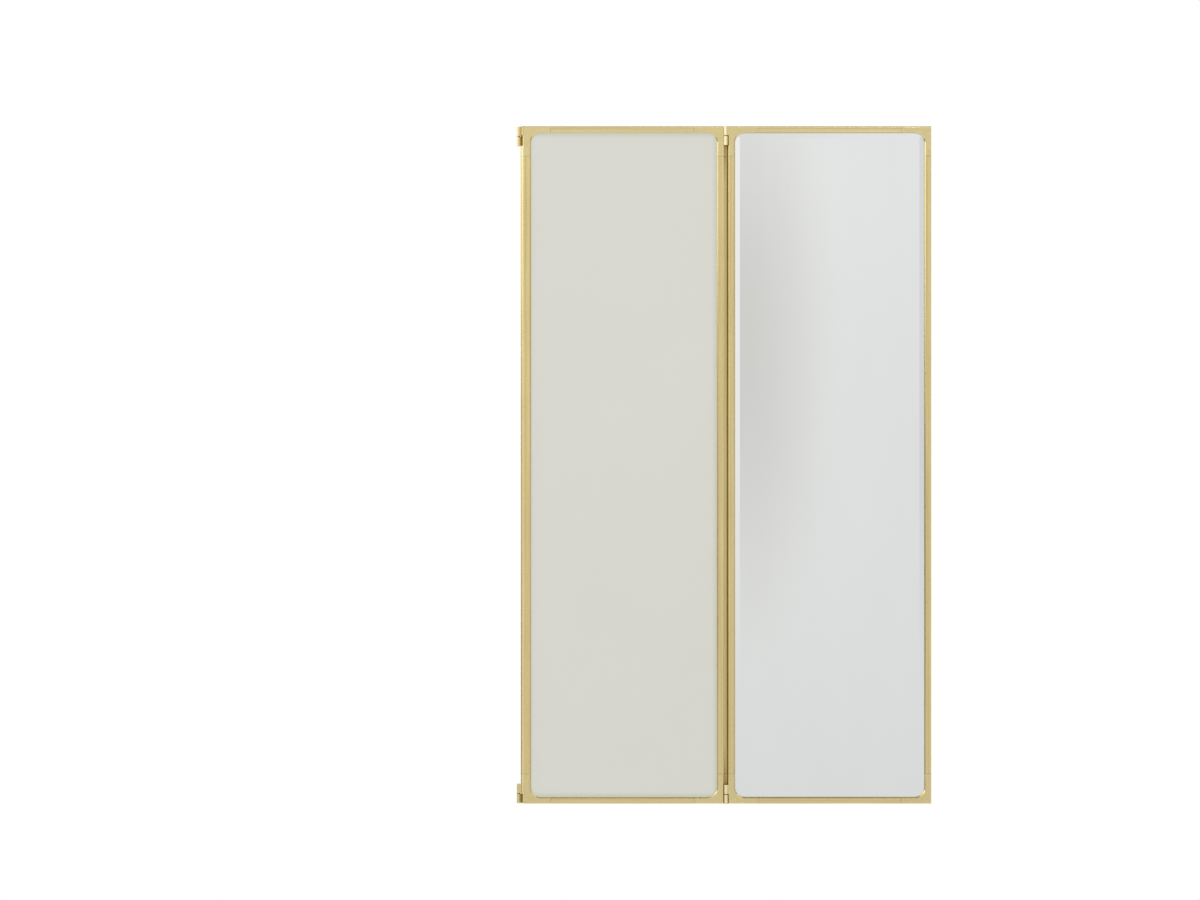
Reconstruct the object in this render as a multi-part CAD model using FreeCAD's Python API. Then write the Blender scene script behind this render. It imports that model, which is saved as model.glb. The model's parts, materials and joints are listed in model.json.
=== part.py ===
import FreeCAD, Part
import math
import os

# Three-panel folding wall mirror in brass frames, in millimetres.
# X runs to the right, Y into the wall and Z up. The origin lies on the wall, midway between the keyholes.
# At rest the left wing is shut over the centre panel and the right wing is open flat.

os.makedirs("parts", exist_ok=True)
Vector = FreeCAD.Vector

# Panels
PANEL_WIDTH = 300.0
PANEL_HEIGHT = 1000.0
PANEL_DEPTH = 12.0
WALL_GAP = 5.0
HANG_DROP = 40.0

# Frame bars and corners
EDGE_WALL = 6.0
LIP = 2.0
LIP_CHAMFER = 1.7
STILE_FACE = 10.0
RAIL_FACE = 9.6
HINGE_STILE_BACK = 15.2
OPENING_RADIUS = 15.0
EDGE_RADIUS = 2.0
NOSE_RADIUS = 5.5
CORNER_LEG = 44.0
SEAM = 0.25

# Spigots of the corners, and the set screws that lock the bars on them
SPIGOT_LENGTH = 14.0
SPIGOT_WIDTH = 3.0
SPIGOT_DEPTH = 6.0
SPIGOT_SKIN = 1.5
SPIGOT_CLEARANCE = 0.1
SET_SCREW_RADIUS = 1.5
SET_SCREW_LENGTH = 3.6
SCREW_CLEARANCE = 0.1

# Glass, foam and back sheet
GLASS = 4.0
SHEET = 2.0
PACK_CLEARANCE = 0.5
BEVEL_WIDTH = 11.0
BEVEL_DROP = 1.5
GLASS_SEAT = 0.05
FOAM_INSET = 5.0

# Hinges
KNUCKLE_RADIUS = 2.8
KNUCKLE_LENGTH = 13.6
KNUCKLE_CLEARANCE = 0.3
FOLD_GAP = 1.0
WASHER = 0.9
WASHER_RADIUS = 2.3
THRUST_PLAY = 0.3
PIN_RADIUS = 1.4
PIN_PLAY = 0.05
PIN_SEAT = 0.01
PIN_RECESS = 0.6
WEB_ROOT = 2.0
NOTCH_WIDTH = 3.3

# Raised post of the right hinge
POST_CLEARANCE = 0.3
POST_KNUCKLE_GAP = 2.0
POST_ROUND = 1.2
POST_WEB = 4.0
POST_FLANGE = 8.0
POST_FLANGE_SHEET = 2.0
POST_SCREW_RADIUS = 1.8
POST_SCREW_HEAD = 3.4
POST_SCREW_REACH = 4.0
POST_SCREW_COUNT = 4
POST_SCREW_MARGIN = 60.0
BLOCK_SCREW_MARGIN = 11.0

# Hangers, bumpers and dots
HANGER_INSET = 80.0
HANGER_WIDTH = 32.0
HANGER_SHEET = 1.5
HANGER_FLANGE = 9.0
HANGER_JOGGLE = 4.0
HANGER_TAIL = 14.0
KEYHOLE_RADIUS = 4.5
KEYHOLE_SLOT = 2.5
KEYHOLE_RISE = 10.0
HANGER_SCREW_PITCH = 22.0
HANGER_SCREW_RADIUS = 1.25
HANGER_SCREW_HEAD = 2.4
HANGER_SCREW_LENGTH = 8.0
BUMPER_RADIUS = 2.9
BUMPER_INSET = 25.0
DOT_RADIUS = 2.5
DOT = 0.6
DOT_INSET = 34.0

# Places that follow from the sizes
hinge_offset = KNUCKLE_RADIUS + KNUCKLE_CLEARANCE
pack_edge = EDGE_WALL + PACK_CLEARANCE
spigot_start = (PANEL_DEPTH - LIP - SPIGOT_DEPTH) / 2
set_screw_depth = spigot_start + SPIGOT_DEPTH / 2
hanger_place = PANEL_WIDTH / 2 - HANGER_INSET
panel_bottom = HANG_DROP - PANEL_HEIGHT
centre_front = -(WALL_GAP + PANEL_DEPTH)
left_wing_front = centre_front - FOLD_GAP
right_wing_front = left_wing_front - PANEL_DEPTH

# The bevelled glass leans on the rounded corners of the front lips, which reach furthest in.
corner_reach = max(STILE_FACE, RAIL_FACE) + OPENING_RADIUS * (1 - math.sqrt(0.5)) - pack_edge
bevel_under_lip = BEVEL_DROP * max(0.0, 1 - corner_reach / BEVEL_WIDTH)
glass_front = LIP - bevel_under_lip + GLASS_SEAT
glass_back = glass_front + GLASS
sheet_back = PANEL_DEPTH - LIP
sheet_front = sheet_back - SHEET

# The hinge lines in a panel's own frame: the wing's barrel stands on the centre's, with a washer between.
left_axis = (-hinge_offset, -FOLD_GAP / 2)
right_axis = (PANEL_WIDTH + hinge_offset, left_axis[1] - FOLD_GAP - PANEL_DEPTH)
barrel_step = KNUCKLE_LENGTH + WASHER + THRUST_PLAY
centre_levels = {"top": PANEL_HEIGHT - KNUCKLE_LENGTH - barrel_step, "bottom": 0.0}
wing_levels = {end: level + barrel_step for end, level in centre_levels.items()}

# The post fills the gap between the closed left wing and the open right wing.
post_left = PANEL_WIDTH + POST_CLEARANCE
post_right = PANEL_WIDTH + 2 * hinge_offset - POST_CLEARANCE
post_front = right_axis[1] + KNUCKLE_RADIUS + POST_KNUCKLE_GAP


def box(x0, x1, y0, y1, z0, z1):
    return Part.makeBox(x1 - x0, y1 - y0, z1 - z0, Vector(x0, y0, z0))


def prism(points, direction):
    """A straight solid whose end face is the polygon of these points."""
    corners = [Vector(*point) for point in points]
    return Part.Face(Part.makePolygon(corners + corners[:1])).extrude(Vector(*direction))


def line(start, end):
    return Part.LineSegment(start, end).toShape()


def round_corner(start, middle, end):
    return Part.Arc(start, middle, end).toShape()


def turned(shape, degrees):
    """The shape turned about Y, which takes a bar from one side of a panel to another."""
    return shape.rotated(Vector(0, 0, 0), Vector(0, 1, 0), degrees)


def moved(shape, x, y, z):
    return shape.translated(Vector(x, y, z))


def flipped(shape, x, y, z):
    """The shape mirrored in the panel's middle plane across the one axis that is 1."""
    middle = Vector(PANEL_WIDTH / 2, PANEL_DEPTH / 2, PANEL_HEIGHT / 2)
    return shape.mirror(middle, Vector(x, y, z))


def edge_blank(reach, length, back_radius):
    """A solid bar along Z, its outer edge on x = 0 and its mirror side on y = 0, with round outer edges."""
    share = 1 - math.sqrt(0.5)
    front_start = Vector(EDGE_RADIUS, 0, 0)
    front_middle = Vector(EDGE_RADIUS * share, EDGE_RADIUS * share, 0)
    front_end = Vector(0, EDGE_RADIUS, 0)
    back_start = Vector(0, PANEL_DEPTH - back_radius, 0)
    back_middle = Vector(back_radius * share, PANEL_DEPTH - back_radius * share, 0)
    back_end = Vector(back_radius, PANEL_DEPTH, 0)
    inner_back = Vector(reach, PANEL_DEPTH, 0)
    inner_front = Vector(reach, 0, 0)
    outline = Part.Wire([
        round_corner(front_start, front_middle, front_end),
        line(front_end, back_start),
        round_corner(back_start, back_middle, back_end),
        line(back_end, inner_back),
        line(inner_back, inner_front),
        line(inner_front, front_start),
    ])
    return Part.Face(outline).extrude(Vector(0, 0, length))


def lip_cut(face, reach, z0, z1):
    """The room beyond a front lip of this face width, with the lip's chamfer, from z0 to z1."""
    over = LIP / 2
    return prism([
        (face - LIP_CHAMFER - over, -over, z0),
        (face, LIP_CHAMFER, z0),
        (face, LIP + over, z0),
        (reach, LIP + over, z0),
        (reach, -over, z0),
    ], (0, 0, z1 - z0))


def corner_cut(stile_face):
    """The room within the front lips at the corner by the origin, rounded and chamfered."""
    over = LIP / 2
    reach = CORNER_LEG + over
    x = stile_face + OPENING_RADIUS
    z = RAIL_FACE + OPENING_RADIUS
    start = Vector(x, -over, z)
    depth = Vector(0, 1, 0)
    beside_stile = lip_cut(stile_face, reach, z, reach)
    beside_rail = turned(lip_cut(RAIL_FACE, reach, -reach, -x), -90)
    round_part = Part.makeCylinder(OPENING_RADIUS, LIP + 2 * over, start, depth)
    flare_radius = OPENING_RADIUS + LIP_CHAMFER + over
    flare = Part.makeCone(flare_radius, OPENING_RADIUS, LIP_CHAMFER + over, start, depth)
    return beside_stile.fuse([beside_rail, round_part, flare])


def spigot(z0, z1, clearance):
    """The tongue along Z inside a bar's outer wall, or with a clearance the pocket that takes it."""
    return box(
        SPIGOT_SKIN - clearance,
        SPIGOT_SKIN + SPIGOT_WIDTH + clearance,
        spigot_start - clearance,
        spigot_start + SPIGOT_DEPTH + clearance,
        z0,
        z1)


def set_screw(z, clearance):
    """A set screw along X from a bar's outer edge, or with a clearance the hole that takes it."""
    start = Vector(0, set_screw_depth, z)
    radius = SET_SCREW_RADIUS + clearance
    return Part.makeCylinder(radius, SET_SCREW_LENGTH + clearance, start, Vector(1, 0, 0))


def bar(length, front_face, back_face, back_radius):
    """A channel bar along Z: outer wall, two chamfered lips, and at each end a pocket and a screw hole."""
    reach = max(front_face, back_face)
    channel = box(EDGE_WALL, reach, LIP, PANEL_DEPTH - LIP, 0, length)
    front_cut = lip_cut(front_face, reach + LIP, 0, length)
    back_cut = flipped(lip_cut(back_face, reach + LIP, 0, length), 0, 1, 0)
    pocket_depth = SPIGOT_LENGTH - SEAM + SPIGOT_CLEARANCE
    pockets = [
        spigot(0, pocket_depth, SPIGOT_CLEARANCE),
        spigot(length - pocket_depth, length, SPIGOT_CLEARANCE),
    ]
    holes = [set_screw(z, SCREW_CLEARANCE) for z in (SPIGOT_LENGTH / 2, length - SPIGOT_LENGTH / 2)]
    return edge_blank(reach, length, back_radius).cut([channel, front_cut, back_cut] + pockets + holes)


def bar_screws(length):
    return [set_screw(z, 0) for z in (SPIGOT_LENGTH / 2, length - SPIGOT_LENGTH / 2)]


def corner(back_face, back_radius):
    """A corner casting at the origin: two legs with lips, the glass pocket between them, and two spigots."""
    leg = CORNER_LEG
    stile_leg = edge_blank(leg, leg, back_radius)
    rail_leg = moved(turned(edge_blank(leg, leg, EDGE_RADIUS), -90), leg, 0, 0)
    pocket = box(EDGE_WALL, leg, LIP, PANEL_DEPTH - LIP, EDGE_WALL, leg)
    back_cut = flipped(corner_cut(back_face), 0, 1, 0)
    body = stile_leg.common(rail_leg).cut([pocket, corner_cut(STILE_FACE), back_cut])
    tongue = spigot(leg - WEB_ROOT, leg + SPIGOT_LENGTH, 0)
    tongue = tongue.cut(set_screw(leg + SEAM + SPIGOT_LENGTH / 2, SCREW_CLEARANCE))
    across = turned(tongue.mirror(Vector(0, 0, 0), Vector(0, 0, 1)), -90)
    return body.fuse([tongue, across])


def barrel(axis, level, radius):
    return Part.makeCylinder(radius, KNUCKLE_LENGTH, Vector(axis[0], axis[1], level))


def with_barrel(casting, level, pin_clearance):
    """The casting with a hinge barrel beside its edge, on a web just behind the mirror plane."""
    x, y = left_axis
    web = box(x, WEB_ROOT, 0, KNUCKLE_RADIUS + y, level, level + KNUCKLE_LENGTH)
    solid = casting.fuse([barrel(left_axis, level, KNUCKLE_RADIUS), web])
    return solid.cut(barrel(left_axis, level, PIN_RADIUS + pin_clearance))


def with_notch(casting, end):
    """The left wing's casting cut away beside the centre panel's barrel."""
    bottom = centre_levels[end] - THRUST_PLAY
    return casting.cut(box(0, NOTCH_WIDTH, 0, PANEL_DEPTH, bottom, wing_levels[end]))


def mirror_glass():
    """A glass plate whose front edges are ground to a bevel."""
    low = pack_edge
    right = PANEL_WIDTH - pack_edge
    top = PANEL_HEIGHT - pack_edge
    bevel_back = glass_front + BEVEL_DROP
    ground = Part.makeWedge(
        low + BEVEL_WIDTH, glass_front, low + BEVEL_WIDTH, low, low,
        right - BEVEL_WIDTH, bevel_back, top - BEVEL_WIDTH, top, right)
    plate = box(low, right, bevel_back, glass_back, low, top)
    return plate.fuse(ground).removeSplitter()


def pack_sheet(inset, front, back):
    edge = pack_edge + inset
    return box(edge, PANEL_WIDTH - edge, front, back, edge, PANEL_HEIGHT - edge)


def panel(near, far, near_back, near_radius):
    """The pieces of a panel: its near edge is on x = 0, its lower edge on z = 0, and its mirror faces -Y."""
    stile_length = PANEL_HEIGHT - 2 * (CORNER_LEG + SEAM)
    rail_length = PANEL_WIDTH - 2 * (CORNER_LEG + SEAM)
    start = CORNER_LEG + SEAM
    rail = bar(rail_length, RAIL_FACE, RAIL_FACE, EDGE_RADIUS)
    near_corner = corner(near_back, near_radius)
    far_corner = flipped(corner(STILE_FACE, EDGE_RADIUS), 1, 0, 0)
    stile_screws = Part.makeCompound(bar_screws(stile_length))
    rail_screws = Part.makeCompound(bar_screws(rail_length))

    def to_near(shape):
        return moved(shape, 0, 0, start)

    def to_far(shape):
        return moved(turned(shape, 180), PANEL_WIDTH, 0, PANEL_HEIGHT - start)

    def to_top(shape):
        return moved(turned(shape, 90), start, 0, PANEL_HEIGHT)

    def to_bottom(shape):
        return moved(turned(shape, -90), PANEL_WIDTH - start, 0, 0)

    screws = [to_near(stile_screws), to_far(stile_screws), to_top(rail_screws), to_bottom(rail_screws)]
    return {
        f"{near}_bottom_corner": near_corner,
        f"{near}_top_corner": flipped(near_corner, 0, 0, 1),
        f"{far}_bottom_corner": far_corner,
        f"{far}_top_corner": flipped(far_corner, 0, 0, 1),
        f"{near}_stile": to_near(bar(stile_length, STILE_FACE, near_back, near_radius)),
        f"{far}_stile": to_far(bar(stile_length, STILE_FACE, STILE_FACE, EDGE_RADIUS)),
        "top_rail": to_top(rail),
        "bottom_rail": to_bottom(rail),
        "mirror": mirror_glass(),
        "foam": pack_sheet(FOAM_INSET, glass_back, sheet_front),
        "back_sheet": pack_sheet(0, sheet_front, sheet_back),
        "set_screws": Part.makeCompound([solid for group in screws for solid in group.Solids]),
    }


def wing():
    """A wing's pieces: its hinge side carries the upper barrels and a round back edge."""
    pieces = panel("hinge", "free", HINGE_STILE_BACK, NOSE_RADIUS)
    for end, level in wing_levels.items():
        name = f"hinge_{end}_corner"
        pieces[name] = with_barrel(pieces[name], level, PIN_PLAY)
    return pieces


def post_bar(z0, z1):
    """A length of the raised post: a foot against the centre panel's edge, an upstand with a round edge, and
    a flange behind the open right wing."""
    share = 1 - math.sqrt(0.5)
    flange_end = post_right + POST_FLANGE
    foot_front = Vector(PANEL_WIDTH, 0, z0)
    foot_back = Vector(PANEL_WIDTH, PANEL_DEPTH, z0)
    right_back = Vector(post_right, PANEL_DEPTH, z0)
    flange_back_start = Vector(post_right, POST_FLANGE_SHEET, z0)
    flange_back_end = Vector(flange_end, POST_FLANGE_SHEET, z0)
    flange_front_end = Vector(flange_end, 0, z0)
    flange_front_start = Vector(post_right, 0, z0)
    round_start = Vector(post_right, post_front + POST_ROUND, z0)
    round_middle = Vector(post_right - POST_ROUND * share, post_front + POST_ROUND * share, z0)
    round_end = Vector(post_right - POST_ROUND, post_front, z0)
    left_front = Vector(post_left, post_front, z0)
    step = Vector(post_left, 0, z0)
    outline = Part.Wire([
        line(foot_front, foot_back),
        line(foot_back, right_back),
        line(right_back, flange_back_start),
        line(flange_back_start, flange_back_end),
        line(flange_back_end, flange_front_end),
        line(flange_front_end, flange_front_start),
        line(flange_front_start, round_start),
        round_corner(round_start, round_middle, round_end),
        line(round_end, left_front),
        line(left_front, step),
        line(step, foot_front),
    ])
    return Part.Face(outline).extrude(Vector(0, 0, z1 - z0))


def countersunk(start, direction, radius, head, length, clearance):
    """A countersunk screw from its flush head, or with a clearance the hole that takes it."""
    cone = Part.makeCone(head + clearance, radius + clearance, head - radius, start, direction)
    shank = Part.makeCylinder(radius + clearance, length + clearance, start, direction)
    return cone.fuse(shank)


def post_screw(z, clearance):
    length = post_right - PANEL_WIDTH + POST_SCREW_REACH
    start = Vector(post_right, PANEL_DEPTH / 2, z)
    return countersunk(start, Vector(-1, 0, 0), POST_SCREW_RADIUS, POST_SCREW_HEAD, length, clearance)


def post_screw_heights():
    """Two screws in each hinge block, and the post's own screws evenly along it."""
    low = CORNER_LEG + POST_SCREW_MARGIN
    pitch = (PANEL_HEIGHT - 2 * low) / (POST_SCREW_COUNT - 1)
    ends = (BLOCK_SCREW_MARGIN, CORNER_LEG - BLOCK_SCREW_MARGIN)
    heights = [low + i * pitch for i in range(POST_SCREW_COUNT)]
    return heights + [z for end in ends for z in (end, PANEL_HEIGHT - end)]


def hinge_block(z0, level):
    """An end of the post with a lower barrel on a web in front of it."""
    x, y = right_axis
    web = box(
        x - POST_WEB / 2, x + POST_WEB / 2, y, post_front + POST_ROUND, level, level + KNUCKLE_LENGTH)
    solid = post_bar(z0, z0 + CORNER_LEG).fuse([barrel(right_axis, level, KNUCKLE_RADIUS), web])
    return solid.cut(barrel(right_axis, level, PIN_RADIUS + PIN_SEAT))


def hinge_pin(axis, end):
    low = centre_levels[end] + PIN_RECESS
    high = wing_levels[end] + KNUCKLE_LENGTH - PIN_RECESS
    return Part.makeCylinder(PIN_RADIUS, high - low, Vector(axis[0], axis[1], low))


def hinge_washer(axis, end):
    start = Vector(axis[0], axis[1], centre_levels[end] + KNUCKLE_LENGTH)
    hole = Part.makeCylinder(PIN_RADIUS + PIN_PLAY, WASHER, start)
    return Part.makeCylinder(WASHER_RADIUS, WASHER, start).cut(hole)


def hanger_screw(x, clearance):
    start = Vector(x, HANGER_SHEET - WALL_GAP, HANG_DROP - EDGE_WALL / 2)
    return countersunk(
        start, Vector(0, -1, 0), HANGER_SCREW_RADIUS, HANGER_SCREW_HEAD, HANGER_SCREW_LENGTH, clearance)


def hanger_screw_places():
    pitch = HANGER_SCREW_PITCH / 2
    return [side * hanger_place + shift for side in (-1, 1) for shift in (-pitch, pitch)]


def hanger(x):
    """A joggled plate: a flange on the top rail, and a keyhole plate that stands off to the wall."""
    left = x - HANGER_WIDTH / 2
    stand_off = WALL_GAP - HANGER_SHEET
    bend = HANGER_SHEET * math.tan(math.atan2(stand_off, HANGER_JOGGLE) / 2)
    flange_end = HANG_DROP - HANGER_FLANGE
    plate_start = flange_end - HANGER_JOGGLE
    plate = prism([
        (left, -WALL_GAP, HANG_DROP),
        (left, -stand_off, HANG_DROP),
        (left, -stand_off, flange_end),
        (left, 0, plate_start),
        (left, 0, -HANGER_TAIL),
        (left, -HANGER_SHEET, -HANGER_TAIL),
        (left, -HANGER_SHEET, plate_start - bend),
        (left, -WALL_GAP, flange_end - bend),
    ], (HANGER_WIDTH, 0, 0))
    back = Vector(0, -1, 0)
    entry = Part.makeCylinder(KEYHOLE_RADIUS, HANGER_SHEET, Vector(x, 0, 0), back)
    seat = Part.makeCylinder(KEYHOLE_SLOT, HANGER_SHEET, Vector(x, 0, KEYHOLE_RISE), back)
    slot = box(x - KEYHOLE_SLOT, x + KEYHOLE_SLOT, -HANGER_SHEET, 0, 0, KEYHOLE_RISE)
    holes = [hanger_screw(place, SCREW_CLEARANCE) for place in hanger_screw_places()]
    return plate.cut([entry, seat, slot] + holes)


def wall_bumpers():
    z = (EDGE_RADIUS + RAIL_FACE - LIP_CHAMFER) / 2
    places = (BUMPER_INSET, PANEL_WIDTH - BUMPER_INSET)
    back = Vector(0, 1, 0)
    return Part.makeCompound(
        [Part.makeCylinder(BUMPER_RADIUS, WALL_GAP, Vector(x, PANEL_DEPTH, z), back) for x in places])


def fold_dots():
    x = PANEL_WIDTH - (EDGE_RADIUS + STILE_FACE - LIP_CHAMFER) / 2
    heights = (DOT_INSET, PANEL_HEIGHT - DOT_INSET)
    front = Vector(0, -1, 0)
    return Part.makeCompound([Part.makeCylinder(DOT_RADIUS, DOT, Vector(x, 0, z), front) for z in heights])


def centre():
    """The centre panel with the left hinge's lower barrels, the post, the hinge pins and small fittings."""
    pieces = panel("left", "right", STILE_FACE, EDGE_RADIUS)
    pieces = {f"centre_{name}": shape for name, shape in pieces.items()}
    for end, level in centre_levels.items():
        name = f"centre_left_{end}_corner"
        pieces[name] = with_barrel(pieces[name], level, PIN_SEAT)
    pieces["hinge_post"] = post_bar(CORNER_LEG + SEAM, PANEL_HEIGHT - CORNER_LEG - SEAM)
    pieces["hinge_block_top"] = hinge_block(PANEL_HEIGHT - CORNER_LEG, centre_levels["top"])
    pieces["hinge_block_bottom"] = hinge_block(0, centre_levels["bottom"])
    screw_holes = [post_screw(z, SCREW_CLEARANCE) for z in post_screw_heights()]
    drilled = ["hinge_post", "hinge_block_top", "hinge_block_bottom", "centre_right_stile"]
    drilled += ["centre_right_top_corner", "centre_right_bottom_corner"]
    for name in drilled:
        pieces[name] = pieces[name].cut(screw_holes)
    pieces["post_screws"] = Part.makeCompound([post_screw(z, 0) for z in post_screw_heights()])
    for side, axis in (("left", left_axis), ("right", right_axis)):
        for end in ("top", "bottom"):
            pieces[f"{side}_{end}_pin"] = hinge_pin(axis, end)
            pieces[f"{side}_{end}_washer"] = hinge_washer(axis, end)
    pieces["wall_bumpers"] = wall_bumpers()
    pieces["fold_dots"] = fold_dots()
    return pieces


# The three panels in their places, and the hangers on the wall plane
nodes = {}
for name, shape in centre().items():
    nodes[name] = moved(shape, -PANEL_WIDTH / 2, centre_front, panel_bottom)
right_wing = wing()
for name, shape in right_wing.items():
    right_edge = PANEL_WIDTH / 2 + 2 * hinge_offset
    nodes[f"right_wing_{name}"] = moved(shape, right_edge, right_wing_front, panel_bottom)
left_wing = dict(right_wing)
for end in ("top", "bottom"):
    name = f"hinge_{end}_corner"
    left_wing[name] = with_notch(left_wing[name], end)
for name, shape in left_wing.items():
    across = shape.mirror(Vector(0, 0, 0), Vector(0, 1, 0))
    nodes[f"left_wing_{name}"] = moved(across, -PANEL_WIDTH / 2, left_wing_front, panel_bottom)

hanger_holes = [hanger_screw(x, SCREW_CLEARANCE) for x in hanger_screw_places()]
nodes["centre_top_rail"] = nodes["centre_top_rail"].cut(hanger_holes)
nodes["hanger_left"] = hanger(-hanger_place)
nodes["hanger_right"] = hanger(hanger_place)
nodes["hanger_screws"] = Part.makeCompound([hanger_screw(x, 0) for x in hanger_screw_places()])

for name, shape in nodes.items():
    shape.exportStep(f"parts/{name}.step")
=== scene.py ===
import json
import math

import bmesh
import bpy
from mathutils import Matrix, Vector


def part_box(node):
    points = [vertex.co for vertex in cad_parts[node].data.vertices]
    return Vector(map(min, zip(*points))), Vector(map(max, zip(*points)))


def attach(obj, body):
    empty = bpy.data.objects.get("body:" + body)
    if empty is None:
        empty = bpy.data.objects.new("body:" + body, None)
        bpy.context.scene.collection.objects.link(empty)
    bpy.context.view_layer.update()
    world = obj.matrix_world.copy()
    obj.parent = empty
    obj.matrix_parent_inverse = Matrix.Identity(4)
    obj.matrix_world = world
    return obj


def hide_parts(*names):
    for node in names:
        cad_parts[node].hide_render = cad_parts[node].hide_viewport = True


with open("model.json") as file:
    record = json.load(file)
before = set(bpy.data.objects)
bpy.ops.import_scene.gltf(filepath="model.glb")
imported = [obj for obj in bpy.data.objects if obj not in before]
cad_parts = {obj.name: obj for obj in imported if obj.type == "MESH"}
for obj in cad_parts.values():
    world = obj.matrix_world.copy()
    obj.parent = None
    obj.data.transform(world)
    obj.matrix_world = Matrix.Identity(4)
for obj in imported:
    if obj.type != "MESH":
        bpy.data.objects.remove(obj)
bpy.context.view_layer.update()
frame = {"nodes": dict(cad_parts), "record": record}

# Frame corners.
# Each panel has four cast brass corners, linished flat and lacquered. Their lips hold the glass and the
# back sheet, a spigot goes into each bar, and the hinge corners carry a barrel.
bodies = frame["record"]["behaviour"]["bodies"]
body_of = {node: body for body, group in bodies.items() for node in group}


def linear(hex_colour):
    """An sRGB hex colour as the linear colour that the shaders take."""
    parts = [int(hex_colour[i:i + 2], 16) / 255 for i in (1, 3, 5)]
    lit = [part / 12.92 if part <= 0.04045 else ((part + 0.055) / 1.055) ** 2.4 for part in parts]
    return lit + [1.0]


def add_node(tree, kind, inputs, **settings):
    """One node with its settings. An input takes a plain value or another node's output."""
    made = tree.nodes.new(kind)
    for name, value in settings.items():
        setattr(made, name, value)
    for key, value in inputs.items():
        if isinstance(value, bpy.types.NodeSocket):
            tree.links.new(value, made.inputs[key])
        else:
            made.inputs[key].default_value = value
    return made


def new_finish(name):
    """A material with its node tree and its one shader."""
    finish = bpy.data.materials.new(name)
    finish.use_nodes = True
    return finish, finish.node_tree, finish.node_tree.nodes["Principled BSDF"]


# Where light and shade are painted on the brass round the hinges, in metres, with the object at rest.
STRIP_X = 0.1531
STRIP_HALF_WIDTH = 0.0030
GAP_SHADE_FROM_X = 0.1512
GAP_SHADE_TO_X = 0.1547
GAP_MIDDLE_Z = -0.46
GAP_HALF_HEIGHT = 0.472
BARREL_SHADE_FROM_MIDDLE = 0.41
NOSE_SHADE_FULL = 0.0020
NOSE_SHADE_END = 0.0036
WING_BACK_Y = -0.02
UPPER_BARREL_Z = 0.0264
BARREL_HIGHLIGHT = 0.85
SLOT_X = -0.1482
SLOT_HALF_WIDTH = 0.0015
SLOT_MIDDLE_Z = -0.46695
SLOT_FROM_MIDDLE = 0.4858
SLOT_HALF_HEIGHT = 0.0076
SLOT_BACK_Y = -0.012


def hinge_light_and_shade(tree, place):
    """How far a highlight is painted on the right wing's hinge barrels here, how far shade is painted
    in that wing's hinge gap and beside the left wing's upper barrel, and how far it is painted in a
    slot."""
    x, y, z = add_node(tree, "ShaderNodeSeparateXYZ", {0: place}).outputs
    distances = []
    for value, middle in ((x, SLOT_X), (z, GAP_MIDDLE_Z), (z, SLOT_MIDDLE_Z)):
        aside = add_node(tree, "ShaderNodeMath", {0: value, 1: middle}, operation="SUBTRACT")
        distance = add_node(tree, "ShaderNodeMath", {0: aside.outputs[0]}, operation="ABSOLUTE")
        distances.append(distance.outputs[0])
    from_slot, up_gap, up_slots = distances
    # Painted shade in the right wing's hinge gap, across the strip and deeper next to the barrels.
    shade_across_gap = add_node(
        tree, "ShaderNodeMapRange", {0: x, 1: GAP_SHADE_FROM_X, 2: GAP_SHADE_TO_X, 3: 0.0, 4: 0.6},
        interpolation_type="SMOOTHSTEP")
    shade_by_barrels = add_node(
        tree, "ShaderNodeMapRange",
        {0: up_gap, 1: BARREL_SHADE_FROM_MIDDLE, 2: GAP_HALF_HEIGHT, 3: 0.0, 4: 0.85})
    gap_shade = add_node(
        tree, "ShaderNodeMath", {0: shade_across_gap.outputs[0], 1: shade_by_barrels.outputs[0]}, operation="MAXIMUM")
    on_strip = add_node(
        tree, "ShaderNodeMath", {0: x, 1: STRIP_X, 2: STRIP_HALF_WIDTH}, operation="COMPARE")
    in_gap = add_node(tree, "ShaderNodeMath", {0: up_gap, 1: GAP_HALF_HEIGHT}, operation="LESS_THAN")
    # Painted shade also darkens the nose beside the left wing's upper barrel.
    nose = add_node(
        tree, "ShaderNodeMapRange",
        {0: from_slot, 1: NOSE_SHADE_FULL, 2: NOSE_SHADE_END, 3: 0.6, 4: 0.0})
    above = add_node(tree, "ShaderNodeMath", {0: z, 1: UPPER_BARREL_Z}, operation="GREATER_THAN")
    on_wing = add_node(tree, "ShaderNodeMath", {0: y, 1: WING_BACK_Y}, operation="LESS_THAN")
    # Painted shade darkens the slots beside the left hinge's lower barrels.
    in_slot = add_node(
        tree, "ShaderNodeMath", {0: from_slot, 1: SLOT_HALF_WIDTH}, operation="LESS_THAN")
    at_slot = add_node(
        tree, "ShaderNodeMath", {0: up_slots, 1: SLOT_FROM_MIDDLE, 2: SLOT_HALF_HEIGHT},
        operation="COMPARE")
    in_front = add_node(tree, "ShaderNodeMath", {0: y, 1: SLOT_BACK_Y}, operation="LESS_THAN")
    # A highlight is painted on the right wing's hinge barrels.
    beyond_gap = add_node(
        tree, "ShaderNodeMath", {0: up_gap, 1: GAP_HALF_HEIGHT}, operation="GREATER_THAN")
    marks = []
    for mark, *limits in (
        (gap_shade, on_strip, in_gap), (nose, above, on_wing), (in_slot, at_slot, in_front),
        (on_strip, beyond_gap, on_wing),
    ):
        for limit in limits:
            mark = add_node(
                tree, "ShaderNodeMath", {0: mark.outputs[0], 1: limit.outputs[0]},
                operation="MULTIPLY")
        marks.append(mark.outputs[0])
    strip, upper, crevice_shade, rubbing_and_highlight = marks
    hinge_shade = add_node(tree, "ShaderNodeMath", {0: strip, 1: upper}, operation="MAXIMUM")
    barrel_highlight = add_node(tree, "ShaderNodeMath", {0: rubbing_and_highlight, 1: BARREL_HIGHLIGHT}, operation="MULTIPLY")
    return barrel_highlight.outputs[0], hinge_shade.outputs[0], crevice_shade


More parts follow.
